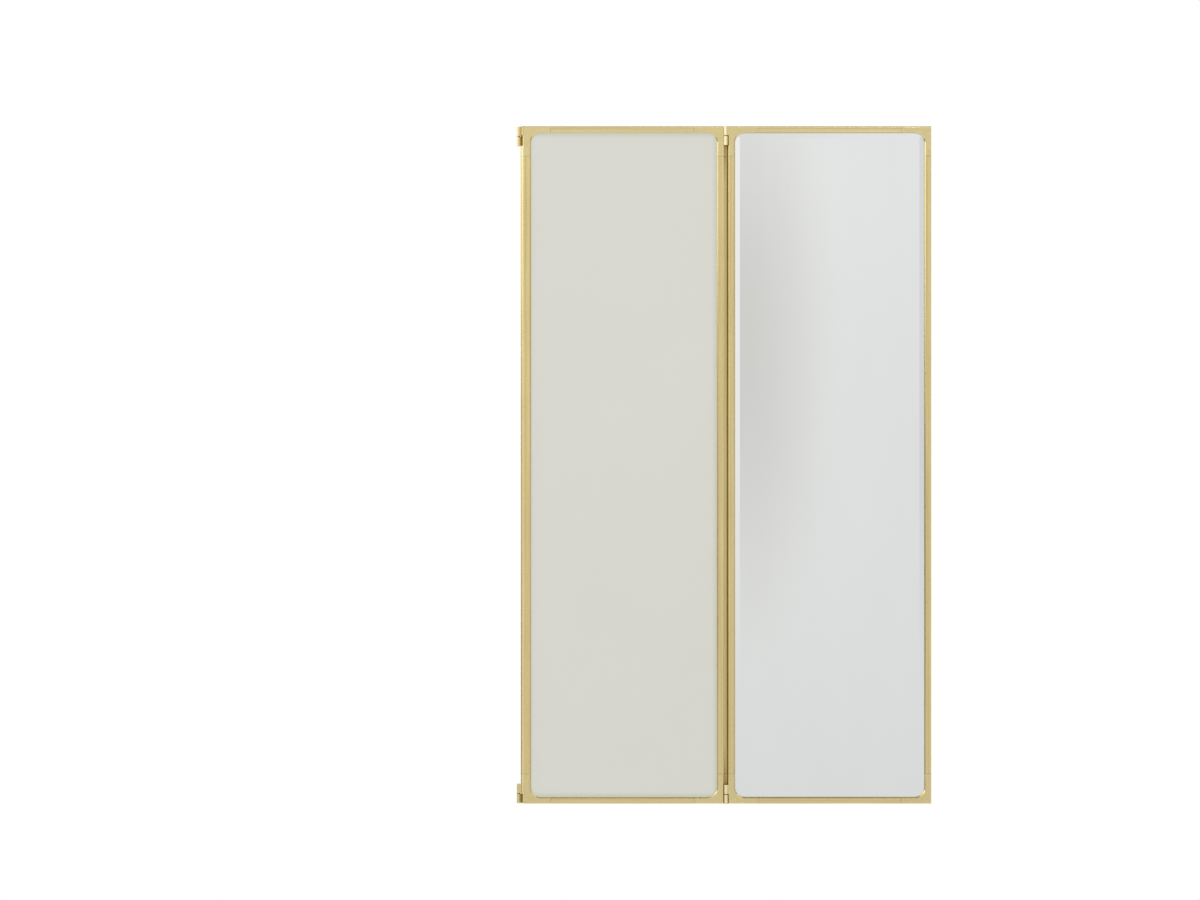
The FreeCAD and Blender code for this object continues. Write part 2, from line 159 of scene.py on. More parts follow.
def lacquered_brass(name, grain_mm, deep, pale):
    """Pale brass brought to a satin by rubbing and sealed with clear lacquer: warm straw colour, soft
    long reflections, faint rubbing marks, brown tarnish mixed with painted shade in gaps and along the
    lips, and painted light and shade round the hinges. Marks run grain_mm along X, Y and Z, and their
    colour lies between deep and pale."""
    finish, tree, shader = new_finish(name)
    place = add_node(tree, "ShaderNodeTexCoord", {}).outputs["Object"]
    along = add_node(
        tree, "ShaderNodeMapping", {"Vector": place, "Scale": [1000 / mm for mm in grain_mm]})
    marks = add_node(tree, "ShaderNodeTexNoise", {"Vector": along.outputs[0], "Scale": 1, "Detail": 1})
    # Handling leaves cloudy patches about a hand's breadth across.
    clouds = add_node(tree, "ShaderNodeTexNoise", {"Vector": place, "Scale": 1000 / 70, "Detail": 2})
    rubbing_and_highlight = add_node(tree, "ShaderNodeMapRange", {0: marks.outputs[0], 1: 0.35, 2: 0.65})
    metal = add_node(
        tree, "ShaderNodeMix", {0: rubbing_and_highlight.outputs[0], 6: linear(deep), 7: linear(pale)},
        data_type="RGBA")
    cloudy = add_node(
        tree, "ShaderNodeMapRange", {0: clouds.outputs[0], 1: 0.4, 2: 0.7, 3: 0.0, 4: 0.2})
    toned = add_node(
        tree, "ShaderNodeMix", {0: cloudy.outputs[0], 6: metal.outputs[2], 7: linear("#CDB77A")},
        data_type="RGBA")
    # Tarnish and painted shade darken the lips and gaps, more where they are more closed in, and the
    # tarnish also dulls the metal there.
    shelter = add_node(tree, "ShaderNodeAmbientOcclusion", {"Distance": 0.008}, samples=16)
    sheltered = add_node(
        tree, "ShaderNodeMapRange", {0: shelter.outputs["AO"], 1: 0.05, 2: 0.5, 3: 0.4, 4: 0.0})
    barrel_highlight, hinge_shade, crevice_shade = hinge_light_and_shade(tree, place)
    # Painted highlight on the right wing's hinge barrels.
    bright = add_node(
        tree, "ShaderNodeMix", {0: barrel_highlight, 6: toned.outputs[2], 7: linear("#F7E7BC")}, data_type="RGBA")
    brown = add_node(
        tree, "ShaderNodeMix", {0: sheltered.outputs[0], 6: bright.outputs[2], 7: linear("#9A7A2E")},
        data_type="RGBA")
    # Painted shade in the hinge gap and beside the upper barrel.
    hinge_shaded = add_node(
        tree, "ShaderNodeMix", {0: hinge_shade, 6: brown.outputs[2], 7: linear("#9A7D36")}, data_type="RGBA")
    # Painted shade in the slots beside the lower barrels.
    slot_shaded = add_node(
        tree, "ShaderNodeMix", {0: crevice_shade, 6: hinge_shaded.outputs[2], 7: linear("#80621E")},
        data_type="RGBA")
    rubbed_smooth = add_node(
        tree, "ShaderNodeMapRange", {0: marks.outputs[0], 1: 0.3, 2: 0.7, 3: 0.23, 4: 0.29})
    polish = add_node(
        tree, "ShaderNodeMix", {0: sheltered.outputs[0], 2: rubbed_smooth.outputs[0], 3: 0.6})
    relief = add_node(
        tree, "ShaderNodeBump", {"Strength": 0.015, "Distance": 0.0001, "Height": marks.outputs[0]})
    tree.links.new(slot_shaded.outputs[2], shader.inputs["Base Color"])
    tree.links.new(polish.outputs[0], shader.inputs["Roughness"])
    tree.links.new(relief.outputs[0], shader.inputs["Normal"])
    shader.inputs["Metallic"].default_value = 1.0
    shader.inputs["Coat Weight"].default_value = 0.25
    shader.inputs["Coat Roughness"].default_value = 0.12
    return finish


FRAME_EASE_MM = 0.4
FINE_EASE_MM = 0.12
SAME_PLACE = 0.00001
FLAT_ANGLE = math.radians(0.5)
SHARP_ANGLE = math.radians(30)


def eased(node, finish, ease_mm, reshape=None):
    """A piece in the shape of a CAD node, with its triangles merged to faces and its sharp edges
    broken. Reshape, if given, works on the merged faces first."""
    shape = bmesh.new()
    shape.from_mesh(frame["nodes"][node].data)
    bmesh.ops.remove_doubles(shape, verts=shape.verts, dist=SAME_PLACE)
    bmesh.ops.dissolve_limit(shape, angle_limit=FLAT_ANGLE, verts=shape.verts, edges=shape.edges)
    if reshape:
        reshape(shape)
    for face in shape.faces:
        face.smooth = True
        face.material_index = 0
    mesh = bpy.data.meshes.new(node + "_piece")
    shape.to_mesh(mesh)
    shape.free()
    mesh.materials.append(finish)
    piece = bpy.data.objects.new(node + "_piece", mesh)
    bpy.context.scene.collection.objects.link(piece)
    edge = piece.modifiers.new("broken edges", "BEVEL")
    edge.width = ease_mm / 1000
    edge.segments = 2
    edge.limit_method = "ANGLE"
    edge.angle_limit = SHARP_ANGLE
    edge.use_clamp_overlap = ease_mm > FINE_EASE_MM
    # The large faces keep their own normals, so that they mirror the room like flat metal.
    flat = piece.modifiers.new("flat faces", "WEIGHTED_NORMAL")
    flat.weight = 100
    return piece


def set_in_place(piece, *nodes):
    """The piece stands for these nodes and rides on their body."""
    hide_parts(*nodes)
    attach(piece, body_of[nodes[0]])


# The frame's outer edges are rounded to 2 mm. This reaches just past the rounding.
EDGE_ROUND = 0.00201


def square_edge(shape, mitred):
    """Squares the rounded front edge at the right side. If it is mitred with a round top edge, that
    one runs on to the side."""
    right = max(vert.co.x for vert in shape.verts)
    front = min(vert.co.y for vert in shape.verts)
    top = max(vert.co.z for vert in shape.verts)
    for vert in shape.verts:
        if vert.co.x > right - EDGE_ROUND and vert.co.y < front + EDGE_ROUND:
            vert.co.x = right
            if not mitred or vert.co.z < top - EDGE_ROUND:
                vert.co.y = front
    bmesh.ops.remove_doubles(shape, verts=shape.verts, dist=SAME_PLACE)


# The real marks are about 0.1 mm wide. They are drawn 2 to 6 mm wide, or none would show.
cast_brass = lacquered_brass("cast brass, linished", (6, 2, 6), "#E2CF96", "#E6D49C")
for corner in [node for node in body_of if node.endswith("_corner")]:
    # The corner beside the hinge barrels at the top has been filed square there.
    reshape = None
    if corner == "left_wing_free_top_corner":
        reshape = lambda shape: square_edge(shape, True)
    set_in_place(eased(corner, cast_brass, FRAME_EASE_MM, reshape), corner)

# Frame bars.
# Drawn brass channel between the corners, its faces very slightly hollow, with lines from the die along
# it, under the same lacquer. Each end slides on a corner's spigot and is locked by a set screw.
HOLLOW_DEPTH = 0.0002
HOLLOW_STRIPS = 8
CHAMFER = 0.0008
SAME_LEVEL = 0.000001


def faces_at(shape, level):
    """The faces that lie wholly at this depth."""
    flat = {vert for vert in shape.verts if abs(vert.co.y - level) < SAME_LEVEL}
    return [face for face in shape.faces if flat.issuperset(face.verts)]


def draw_hollow(shape, axis):
    """Draws a bar's front and back face in a shallow hollow, deepest midway across the axis."""
    across = Vector([1 if i == axis else 0 for i in range(3)])
    depths = [vert.co.y for vert in shape.verts]
    for level, inward in ((min(depths), 1), (max(depths), -1)):
        places = [vert.co[axis] for face in faces_at(shape, level) for vert in face.verts]
        low, high = min(places), max(places)
        for cut in range(1, HOLLOW_STRIPS):
            faces = faces_at(shape, level)
            edges = {edge for face in faces for edge in face.edges}
            verts = {vert for face in faces for vert in face.verts}
            middle = across * (low + (high - low) * cut / HOLLOW_STRIPS)
            bmesh.ops.bisect_plane(
                shape, geom=[*verts, *edges, *faces], plane_co=middle, plane_no=across)
        for vert in {vert for face in faces_at(shape, level) for vert in face.verts}:
            from_middle = (2 * vert.co[axis] - low - high) / (high - low)
            vert.co.y += inward * HOLLOW_DEPTH * (1 - from_middle ** 2)


def cut_edge(shape):
    """Takes a narrow chamfer off the front edge at the bar's left side."""
    left = min(vert.co.x for vert in shape.verts)
    front = min(vert.co.y for vert in shape.verts)
    corner = {vert for vert in shape.verts
              if abs(vert.co.x - left) + abs(vert.co.y - front) < 2 * SAME_LEVEL}
    edges = [edge for edge in shape.edges if set(edge.verts) <= corner]
    bmesh.ops.bevel(shape, geom=edges, offset=CHAMFER, segments=1, affect="EDGES")


def dress_bar(shape, bar, axis):
    """The hollow of the bar's faces, and the edges of the two bars at the middle gap."""
    if bar == "left_wing_free_stile":
        square_edge(shape, False)
    draw_hollow(shape, axis)
    if bar == "right_wing_hinge_stile":
        cut_edge(shape)


stile_brass = lacquered_brass("drawn brass, upright", (3, 3, 240), "#DDC78B", "#E6D297")
rail_brass = lacquered_brass("drawn brass, level", (240, 3, 3), "#DCC88F", "#E4D29A")
for bar in [node for node in body_of if node.endswith(("_stile", "_rail"))]:
    finish, axis = (rail_brass, 2) if bar.endswith("_rail") else (stile_brass, 0)
    # The stile behind the hinge post has screw holes, which leave room for a fine edge only.
    ease_mm = FINE_EASE_MM if bar == "centre_right_stile" else FRAME_EASE_MM
    set_in_place(eased(bar, finish, ease_mm, lambda shape: dress_bar(shape, bar, axis)), bar)

# Mirrors.
# Silvered float glass, 4 mm thick, with a wide bevel ground and polished on its front edges and grey
# paint over the silver. It leans on the front lips.
BEVEL_WIDTH = 0.011
BEVEL_DROP = 0.0015

# A mirror has almost no colour of its own. A faint haze of wiping marks softens what it shows.
silvered_glass, tree, shader = new_finish("silvered float glass")
place = add_node(tree, "ShaderNodeTexCoord", {}).outputs["Object"]
wiped = add_node(
    tree, "ShaderNodeMapping",
    {"Vector": place, "Rotation": (0, 0.5, 0), "Scale": (1000 / 40, 1, 1000 / 220)})
haze = add_node(tree, "ShaderNodeTexNoise", {"Vector": wiped.outputs[0], "Scale": 1, "Detail": 4})
tone = add_node(
    tree, "ShaderNodeMix", {0: haze.outputs[0], 6: linear("#F5F5F5"), 7: linear("#F2F2F2")},
    data_type="RGBA")
clear = add_node(tree, "ShaderNodeMapRange", {0: haze.outputs[0], 1: 0.3, 2: 0.7, 3: 0.01, 4: 0.03})
# A line of painted shade darkens the glass along the lips.
shelter = add_node(tree, "ShaderNodeAmbientOcclusion", {"Distance": 0.005}, samples=16)
lip_shade = add_node(
    tree, "ShaderNodeMapRange", {0: shelter.outputs["AO"], 1: 0.5, 2: 0.88, 3: 0.4, 4: 0.0})
lined = add_node(
    tree, "ShaderNodeMix", {0: lip_shade.outputs[0], 6: tone.outputs[2], 7: linear("#8C8464")},
    data_type="RGBA")
tree.links.new(lined.outputs[2], shader.inputs["Base Color"])
tree.links.new(clear.outputs[0], shader.inputs["Roughness"])
shader.inputs["Metallic"].default_value = 1.0

# The ground edge of the glass is a frosted grey green.
ground_edge, tree, shader = new_finish("ground glass edge")
place = add_node(tree, "ShaderNodeTexCoord", {}).outputs["Object"]
grit = add_node(tree, "ShaderNodeTexNoise", {"Vector": place, "Scale": 1000 / 1.5, "Detail": 2})
frost = add_node(
    tree, "ShaderNodeMix", {0: grit.outputs[0], 6: linear("#86A596"), 7: linear("#A9C2B6")},
    data_type="RGBA")
tree.links.new(frost.outputs[2], shader.inputs["Base Color"])
shader.inputs["Roughness"].default_value = 0.55
shader.inputs["IOR"].default_value = 1.52

# The protective paint on the back is a flat grey with roller marks.
backing_paint, tree, shader = new_finish("mirror backing paint")
place = add_node(tree, "ShaderNodeTexCoord", {}).outputs["Object"]
rolled = add_node(
    tree, "ShaderNodeMapping", {"Vector": place, "Scale": (1000 / 3, 1000 / 3, 1000 / 60)})
roller = add_node(tree, "ShaderNodeTexNoise", {"Vector": rolled.outputs[0], "Scale": 1, "Detail": 3})
paint = add_node(
    tree, "ShaderNodeMix", {0: roller.outputs[0], 6: linear("#6E7376"), 7: linear("#7D8285")},
    data_type="RGBA")
tree.links.new(paint.outputs[2], shader.inputs["Base Color"])
shader.inputs["Roughness"].default_value = 0.6

for node in [node for node in body_of if node.endswith("_mirror")]:
    low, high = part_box(node)
    # The closed left wing shows its mirror to the wall, the other panels to the room.
    front, back = (high.y, low.y) if node.startswith("left_wing") else (low.y, high.y)
    rim = front + BEVEL_DROP * math.copysign(1, back - front)
    shape = bmesh.new()
    rings = []
    for inset, depth in ((BEVEL_WIDTH, front), (0, rim), (0, back)):
        sides = ((low.x + inset, low.z + inset), (high.x - inset, low.z + inset),
                 (high.x - inset, high.z - inset), (low.x + inset, high.z - inset))
        rings.append([shape.verts.new((x, depth, z)) for x, z in sides])
    shape.faces.new(rings[0])
    shape.faces.new(rings[2]).material_index = 2
    for first, second, finish in ((rings[0], rings[1], 0), (rings[1], rings[2], 1)):
        for i in range(4):
            j = (i + 1) % 4
            shape.faces.new((first[i], first[j], second[j], second[i])).material_index = finish
    bmesh.ops.recalc_face_normals(shape, faces=shape.faces)
    mesh = bpy.data.meshes.new(node + "_piece")
    shape.to_mesh(mesh)
    shape.free()
    for finish in (silvered_glass, ground_edge, backing_paint):
        mesh.materials.append(finish)
    glass = bpy.data.objects.new(node + "_piece", mesh)
    bpy.context.scene.collection.objects.link(glass)
    set_in_place(glass, node)

# Foam sheets.
# Charcoal closed-cell foam behind each mirror, cut a little smaller than the glass. It presses the
# glass forward and takes up the play of the stack.
foam, tree, shader = new_finish("closed-cell foam")
place = add_node(tree, "ShaderNodeTexCoord", {}).outputs["Object"]
# The real cells are about 0.4 mm across. They are drawn at 2 mm, or they would only show as noise.
cells = add_node(tree, "ShaderNodeTexVoronoi", {"Vector": place, "Scale": 1000 / 2})
skin = add_node(
    tree, "ShaderNodeMix", {0: cells.outputs["Distance"], 6: linear("#3A3B3D"), 7: linear("#4C4D50")},
    data_type="RGBA")
pitted = add_node(
    tree, "ShaderNodeBump", {"Strength": 0.5, "Distance": 0.0003, "Height": cells.outputs["Distance"]})
tree.links.new(skin.outputs[2], shader.inputs["Base Color"])
tree.links.new(pitted.outputs[0], shader.inputs["Normal"])
shader.inputs["Roughness"].default_value = 0.9
for sheet in [node for node in body_of if node.endswith("_foam")]:
    set_in_place(eased(sheet, foam, 0.2), sheet)

# Back sheets.
# Aluminium sheet, 2 mm, sprayed with cream lacquer and baked. It closes each panel from behind, held by
# the back lips, and it is the side that shows when a wing is shut.


def cream_lacquer(name, low, high):
    """Satin cream paint: almost even in colour, a soft sheen with a trace of orange peel, a little
    greyer over the last 12 mm to its edges, and a line of painted shade where it meets the lips. low
    and high are the sheet's corners."""
    finish, tree, shader = new_finish(name)
    place = add_node(tree, "ShaderNodeTexCoord", {}).outputs["Object"]
    middle = (low + high) / 2
    centred = add_node(tree, "ShaderNodeMapping", {"Vector": place, "Location": -middle})
    folded = add_node(tree, "ShaderNodeVectorMath", {0: centred.outputs[0]}, operation="ABSOLUTE")
    inward = add_node(
        tree, "ShaderNodeVectorMath", {0: (high - low) / 2, 1: folded.outputs[0]}, operation="SUBTRACT")
    sides = add_node(tree, "ShaderNodeSeparateXYZ", {0: inward.outputs[0]})
    nearest = add_node(
        tree, "ShaderNodeMath", {0: sides.outputs["X"], 1: sides.outputs["Z"]}, operation="MINIMUM")
    rim = add_node(
        tree, "ShaderNodeMapRange", {0: nearest.outputs[0], 1: 0.004, 2: 0.012, 3: 1.0, 4: 0.0},
        interpolation_type="SMOOTHSTEP")
    clouds = add_node(tree, "ShaderNodeTexNoise", {"Vector": place, "Scale": 1000 / 160, "Detail": 3})
    even = add_node(
        tree, "ShaderNodeMix", {0: clouds.outputs[0], 6: linear("#D9D9D1"), 7: linear("#D7D6CD")},
        data_type="RGBA")
    edge_greyed = add_node(
        tree, "ShaderNodeMix", {0: rim.outputs[0], 6: even.outputs[2], 7: linear("#CDCDBF")},
        data_type="RGBA")
    # A fine line of painted shade darkens the corner between sheet and lip.
    shelter = add_node(tree, "ShaderNodeAmbientOcclusion", {"Distance": 0.004}, samples=16)
    crevice_shade = add_node(
        tree, "ShaderNodeMapRange", {0: shelter.outputs["AO"], 1: 0.5, 2: 0.85, 3: 0.2, 4: 0.0})
    lined = add_node(
        tree, "ShaderNodeMix", {0: crevice_shade.outputs[0], 6: edge_greyed.outputs[2], 7: linear("#9A9070")},
        data_type="RGBA")
    # Orange peel has waves of about 1.5 mm. They are drawn at 5 mm, so that they show.
    peel = add_node(tree, "ShaderNodeTexNoise", {"Vector": place, "Scale": 1000 / 5, "Detail": 2})
    sheen = add_node(
        tree, "ShaderNodeMapRange", {0: peel.outputs[0], 1: 0.3, 2: 0.7, 3: 0.38, 4: 0.46})
    waves = add_node(
        tree, "ShaderNodeBump", {"Strength": 0.1, "Distance": 0.0002, "Height": peel.outputs[0]})
    tree.links.new(lined.outputs[2], shader.inputs["Base Color"])
    tree.links.new(sheen.outputs[0], shader.inputs["Roughness"])
    tree.links.new(waves.outputs[0], shader.inputs["Normal"])
    shader.inputs["IOR"].default_value = 1.5
    return finish


for node in [node for node in body_of if node.endswith("_back_sheet")]:
    lacquer = cream_lacquer("cream lacquer, " + body_of[node].replace("_", " "), *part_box(node))
    set_in_place(eased(node, lacquer, 0.3), node)

# Set screws.
# Slotted brass grub screws, eight to a panel, in the outer edges of the bars. Each is turned in flush
# until it locks a spigot, so the slots stand at any angle.


def islands(node):
    """The lowest and highest corners of each separate solid in a CAD node."""
    shape = bmesh.new()
    shape.from_mesh(frame["nodes"][node].data)
    bmesh.ops.remove_doubles(shape, verts=shape.verts, dist=SAME_LEVEL)
    waiting = set(shape.verts)
    found = []
    while waiting:
        reached = [waiting.pop()]
        for vert in reached:
            near = {edge.other_vert(vert) for edge in vert.link_edges} & waiting
            waiting -= near
            reached.extend(near)
        points = [vert.co for vert in reached]
        low = Vector([min(point[i] for point in points) for i in range(3)])
        high = Vector([max(point[i] for point in points) for i in range(3)])
        found.append((low, high))
    shape.free()
    return found


def screw_tree():
    """Turned screws with a slotted head, one on each point, driven along its inward direction."""
    tree = bpy.data.node_groups.new("slotted screws", "GeometryNodeTree")
    tree.interface.new_socket("Geometry", in_out="OUTPUT", socket_type="NodeSocketGeometry")
    tree.interface.new_socket("Places", in_out="INPUT", socket_type="NodeSocketGeometry")
    for size in ("Head Radius", "Shank Radius", "Head Height", "Length", "Slot Width", "Slot Depth"):
        tree.interface.new_socket(size, in_out="INPUT", socket_type="NodeSocketFloat")
    tree.interface.new_socket("Seed", in_out="INPUT", socket_type="NodeSocketInt")
    tree.interface.new_socket("Finish", in_out="INPUT", socket_type="NodeSocketMaterial")
    given = add_node(tree, "NodeGroupInput", {}).outputs
    # Five stations along the screw: flat head, broken rim, the head's foot, the shank's end and tip.
    station = add_node(tree, "GeometryNodeInputIndex", {}).outputs[0]
    chamfer = add_node(
        tree, "ShaderNodeMath", {0: given["Shank Radius"], 1: 0.15}, operation="MULTIPLY").outputs[0]
    rim = add_node(
        tree, "ShaderNodeMath", {0: given["Head Radius"], 1: chamfer}, operation="SUBTRACT").outputs[0]
    foot = add_node(
        tree, "ShaderNodeMath", {0: given["Head Height"], 1: chamfer}, operation="ADD").outputs[0]
    tip = add_node(
        tree, "ShaderNodeMath", {0: given["Length"], 1: chamfer}, operation="SUBTRACT").outputs[0]
    point = add_node(
        tree, "ShaderNodeMath", {0: given["Shank Radius"], 1: chamfer}, operation="SUBTRACT").outputs[0]
    switches = []
    for steps in (
        (0.0, chamfer, foot, tip, given["Length"]),
        (rim, given["Head Radius"], given["Shank Radius"], given["Shank Radius"], point),
    ):
        switch = add_node(tree, "GeometryNodeIndexSwitch", {"Index": station}, data_type="FLOAT")
        while len(switch.index_switch_items) < len(steps):
            switch.index_switch_items.new()
        for number, step in enumerate(steps):
            socket = switch.inputs[number + 1]
            if isinstance(step, bpy.types.NodeSocket):
                tree.links.new(step, socket)
            else:
                socket.default_value = step
        switches.append(switch.outputs[0])
    axis = add_node(tree, "GeometryNodeMeshLine", {"Count": 5})
    line = add_node(tree, "GeometryNodeMeshToCurve", {0: axis.outputs[0]})
    depth = add_node(tree, "ShaderNodeCombineXYZ", {"Z": switches[0]})
    stretched = add_node(
        tree, "GeometryNodeSetPosition", {"Geometry": line.outputs[0], "Position": depth.outputs[0]})
    circle = add_node(tree, "GeometryNodeCurvePrimitiveCircle", {"Resolution": 28, "Radius": 1.0})
    turned = add_node(tree, "GeometryNodeCurveToMesh", {
        "Curve": stretched.outputs[0], "Profile Curve": circle.outputs[0], "Scale": switches[1],
        "Fill Caps": True})
    across = add_node(tree, "ShaderNodeMath", {0: given["Head Radius"], 1: 2.4}, operation="MULTIPLY")
    deep = add_node(tree, "ShaderNodeMath", {0: given["Slot Depth"], 1: 2.0}, operation="MULTIPLY")
    cut = add_node(tree, "ShaderNodeCombineXYZ", {
        "X": across.outputs[0], "Y": given["Slot Width"], "Z": deep.outputs[0]})
    saw = add_node(tree, "GeometryNodeMeshCube", {"Size": cut.outputs[0]})
    slotted = add_node(
        tree, "GeometryNodeMeshBoolean", {"Mesh 1": turned.outputs[0], "Mesh 2": saw.outputs[0]},
        operation="DIFFERENCE")
    inward = add_node(
        tree, "GeometryNodeInputNamedAttribute", {"Name": "inward"}, data_type="FLOAT_VECTOR")
    aimed = add_node(tree, "FunctionNodeAlignRotationToVector", {"Vector": inward.outputs[0]}, axis="Z")
    angle = add_node(
        tree, "FunctionNodeRandomValue", {2: 0.0, 3: math.pi, "Seed": given["Seed"]}, data_type="FLOAT")
    turn = add_node(
        tree, "FunctionNodeAxisAngleToRotation", {"Axis": (0, 0, 1), "Angle": angle.outputs[1]})
    driven = add_node(
        tree, "FunctionNodeRotateRotation",
        {"Rotation": aimed.outputs[0], "Rotate By": turn.outputs[0]}, rotation_space="LOCAL")
    placed = add_node(tree, "GeometryNodeInstanceOnPoints", {
        "Points": given["Places"], "Instance": slotted.outputs[0], "Rotation": driven.outputs[0]})
    real = add_node(tree, "GeometryNodeRealizeInstances", {0: placed.outputs[0]})
    painted = add_node(
        tree, "GeometryNodeSetMaterial", {"Geometry": real.outputs[0], "Material": given["Finish"]})
    add_node(tree, "NodeGroupOutput", {0: painted.outputs[0]})
    return tree


slotted_screws = screw_tree()


def drive_screws(node, heads, sizes, seed, finish):
    """Screws at these heads, each a place and an inward direction, as one mesh for the node."""
    mesh = bpy.data.meshes.new(node + "_places")
    mesh.from_pydata([place for place, inward in heads], [], [])
    direction = mesh.attributes.new("inward", "FLOAT_VECTOR", "POINT")
    for item, (place, inward) in zip(direction.data, heads):
        item.vector = inward
    maker = bpy.data.objects.new(node + "_places", mesh)
    bpy.context.scene.collection.objects.link(maker)
    screws = maker.modifiers.new("screws", "NODES")
    screws.node_group = slotted_screws
    for item in slotted_screws.interface.items_tree:
        if item.name in sizes:
            screws[item.identifier] = sizes[item.name] / 1000
        elif item.name == "Seed":
            screws[item.identifier] = seed
        elif item.name == "Finish":
            screws[item.identifier] = finish
    graph = bpy.context.evaluated_depsgraph_get()
    finished = bpy.data.meshes.new_from_object(maker.evaluated_get(graph))
    finished.name = node + "_piece"
    bpy.data.objects.remove(maker)
    piece = bpy.data.objects.new(node + "_piece", finished)
    bpy.context.scene.collection.objects.link(piece)
    set_in_place(piece, node)


def heads_of(node, outside):
    """Each screw's head and inward direction. A screw lies along its solid's longest side."""
    heads = []
    for low, high in islands(node):
        size = high - low
        axis = max(range(3), key=lambda i: size[i])
        head = (low + high) / 2
        inward = Vector((0, 0, 0))
        inward[axis] = -math.copysign(1, outside(head)[axis])
        head[axis] = low[axis] if inward[axis] > 0 else high[axis]
        heads.append((head, inward))
    return sorted(heads, key=lambda item: tuple(item[0]))


screw_brass = lacquered_brass("turned brass", (2, 2, 2), "#D0BE80", "#DDCC95")
for number, node in enumerate(node for node in body_of if node.endswith("_set_screws")):
    low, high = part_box(node)
    panel_middle = (low + high) / 2
    heads = heads_of(node, lambda head: head - panel_middle)
    sizes = {"Head Radius": 1.5, "Shank Radius": 1.5, "Head Height": 0.8, "Length": 3.6,
             "Slot Width": 0.6, "Slot Depth": 0.8}
    drive_screws(node, heads, sizes, seed=number, finish=screw_brass)

# Hinge post.
# A drawn brass bar screwed to the centre panel's right edge, between two cast end blocks. It carries
# the right wing's hinge line one panel further forward, so that this wing can shut over the left one.
# Its brass is painted a little darker than the frame's, as shade for the deep gap it stands in.
post_brass_darkened = lacquered_brass("drawn brass, darkened", (3, 3, 240), "#D6C289", "#DDCA92")
set_in_place(eased("hinge_post", post_brass_darkened, 0.2), "hinge_post")
for block in ("hinge_block_top", "hinge_block_bottom"):
    set_in_place(eased(block, cast_brass, 0.3), block)
sizes = {"Head Radius": 3.4, "Shank Radius": 1.8, "Head Height": 1.3, "Length": 9.6,
         "Slot Width": 0.9, "Slot Depth": 1.0}
heads = heads_of("post_screws", lambda head: Vector((1, 0, 0)))
drive_screws("post_screws", heads, sizes, seed=7, finish=screw_brass)

# Hinge pins.
# Drawn steel pins, zinc plated, pressed into the lower barrels, with the upper barrels turning on them.
# Their ends lie a little below the barrels' ends.


def zinc_plate(name):
    """Bright zinc on steel: a cool grey metal with a soft shine and a faint crystal pattern."""
    finish, tree, shader = new_finish(name)
    place = add_node(tree, "ShaderNodeTexCoord", {}).outputs["Object"]
    # The crystals are about 1 mm across. They are drawn at 3 mm, so that they show.
    crystals = add_node(tree, "ShaderNodeTexVoronoi", {"Vector": place, "Scale": 1000 / 3})
    clouds = add_node(tree, "ShaderNodeTexNoise", {"Vector": place, "Scale": 1000 / 15, "Detail": 3})
    tone = add_node(
        tree, "ShaderNodeMix",
        {0: crystals.outputs["Color"], 6: linear("#BFC3C6"), 7: linear("#CED1D2")}, data_type="RGBA")
    dull = add_node(
        tree, "ShaderNodeMapRange", {0: clouds.outputs[0], 1: 0.3, 2: 0.7, 3: 0.28, 4: 0.42})
    tree.links.new(tone.outputs[2], shader.inputs["Base Color"])
    tree.links.new(dull.outputs[0], shader.inputs["Roughness"])
    shader.inputs["Metallic"].default_value = 1.0
    return finish


zinc = zinc_plate("zinc plated steel")
for pin in [node for node in body_of if node.endswith("_pin")]:
    set_in_place(eased(pin, zinc, 0.3), pin)

# Thrust washers.
# Dark nylon rings, punched from sheet, on the pins between the barrels. They carry the wing's weight,
# and from the front each shows as a fine dark line.
nylon, tree, shader = new_finish("dark nylon")
place = add_node(tree, "ShaderNodeTexCoord", {}).outputs["Object"]
mottle = add_node(tree, "ShaderNodeTexNoise", {"Vector": place, "Scale": 1000 / 1.2, "Detail": 2})
tone = add_node(
    tree, "ShaderNodeMix", {0: mottle.outputs[0], 6: linear("#2E2820"), 7: linear("#3C352A")},
    data_type="RGBA")
tree.links.new(tone.outputs[2], shader.inputs["Base Color"])
shader.inputs["Roughness"].default_value = 0.5
shader.inputs["IOR"].default_value = 1.53
for washer in [node for node in body_of if node.endswith("_washer")]:
    set_in_place(eased(washer, nylon, 0.15), washer)

# Hangers.
# Two keyhole plates, pressed from 1.5 mm steel and zinc plated. Each is joggled to reach from the top
# rail to the wall, and held by two countersunk screws.
for plate in ("hanger_left", "hanger_right"):
    set_in_place(eased(plate, zinc, FINE_EASE_MM), plate)
sizes = {"Head Radius": 2.4, "Shank Radius": 1.25, "Head Height": 0.9, "Length": 8.0,
         "Slot Width": 0.7, "Slot Depth": 0.7}
heads = heads_of("hanger_screws", lambda head: Vector((0, 1, 0)))
drive_screws("hanger_screws", heads, sizes, seed=11, finish=screw_brass)

# Wall bumpers.
# Moulded rubber feet stuck to the bottom corners, as deep as the hangers, so that the panel hangs
# parallel to the wall and doesn't mark it.
rubber, tree, shader = new_finish("moulded rubber")
place = add_node(tree, "ShaderNodeTexCoord", {}).outputs["Object"]
bloom = add_node(tree, "ShaderNodeTexNoise", {"Vector": place, "Scale": 1000 / 2, "Detail": 3})
tone = add_node(
    tree, "ShaderNodeMix", {0: bloom.outputs[0], 6: linear("#1C1C1D"), 7: linear("#2B2B2C")},
    data_type="RGBA")
tree.links.new(tone.outputs[2], shader.inputs["Base Color"])
shader.inputs["Roughness"].default_value = 0.8
set_in_place(eased("wall_bumpers", rubber, 0.8), "wall_bumpers")

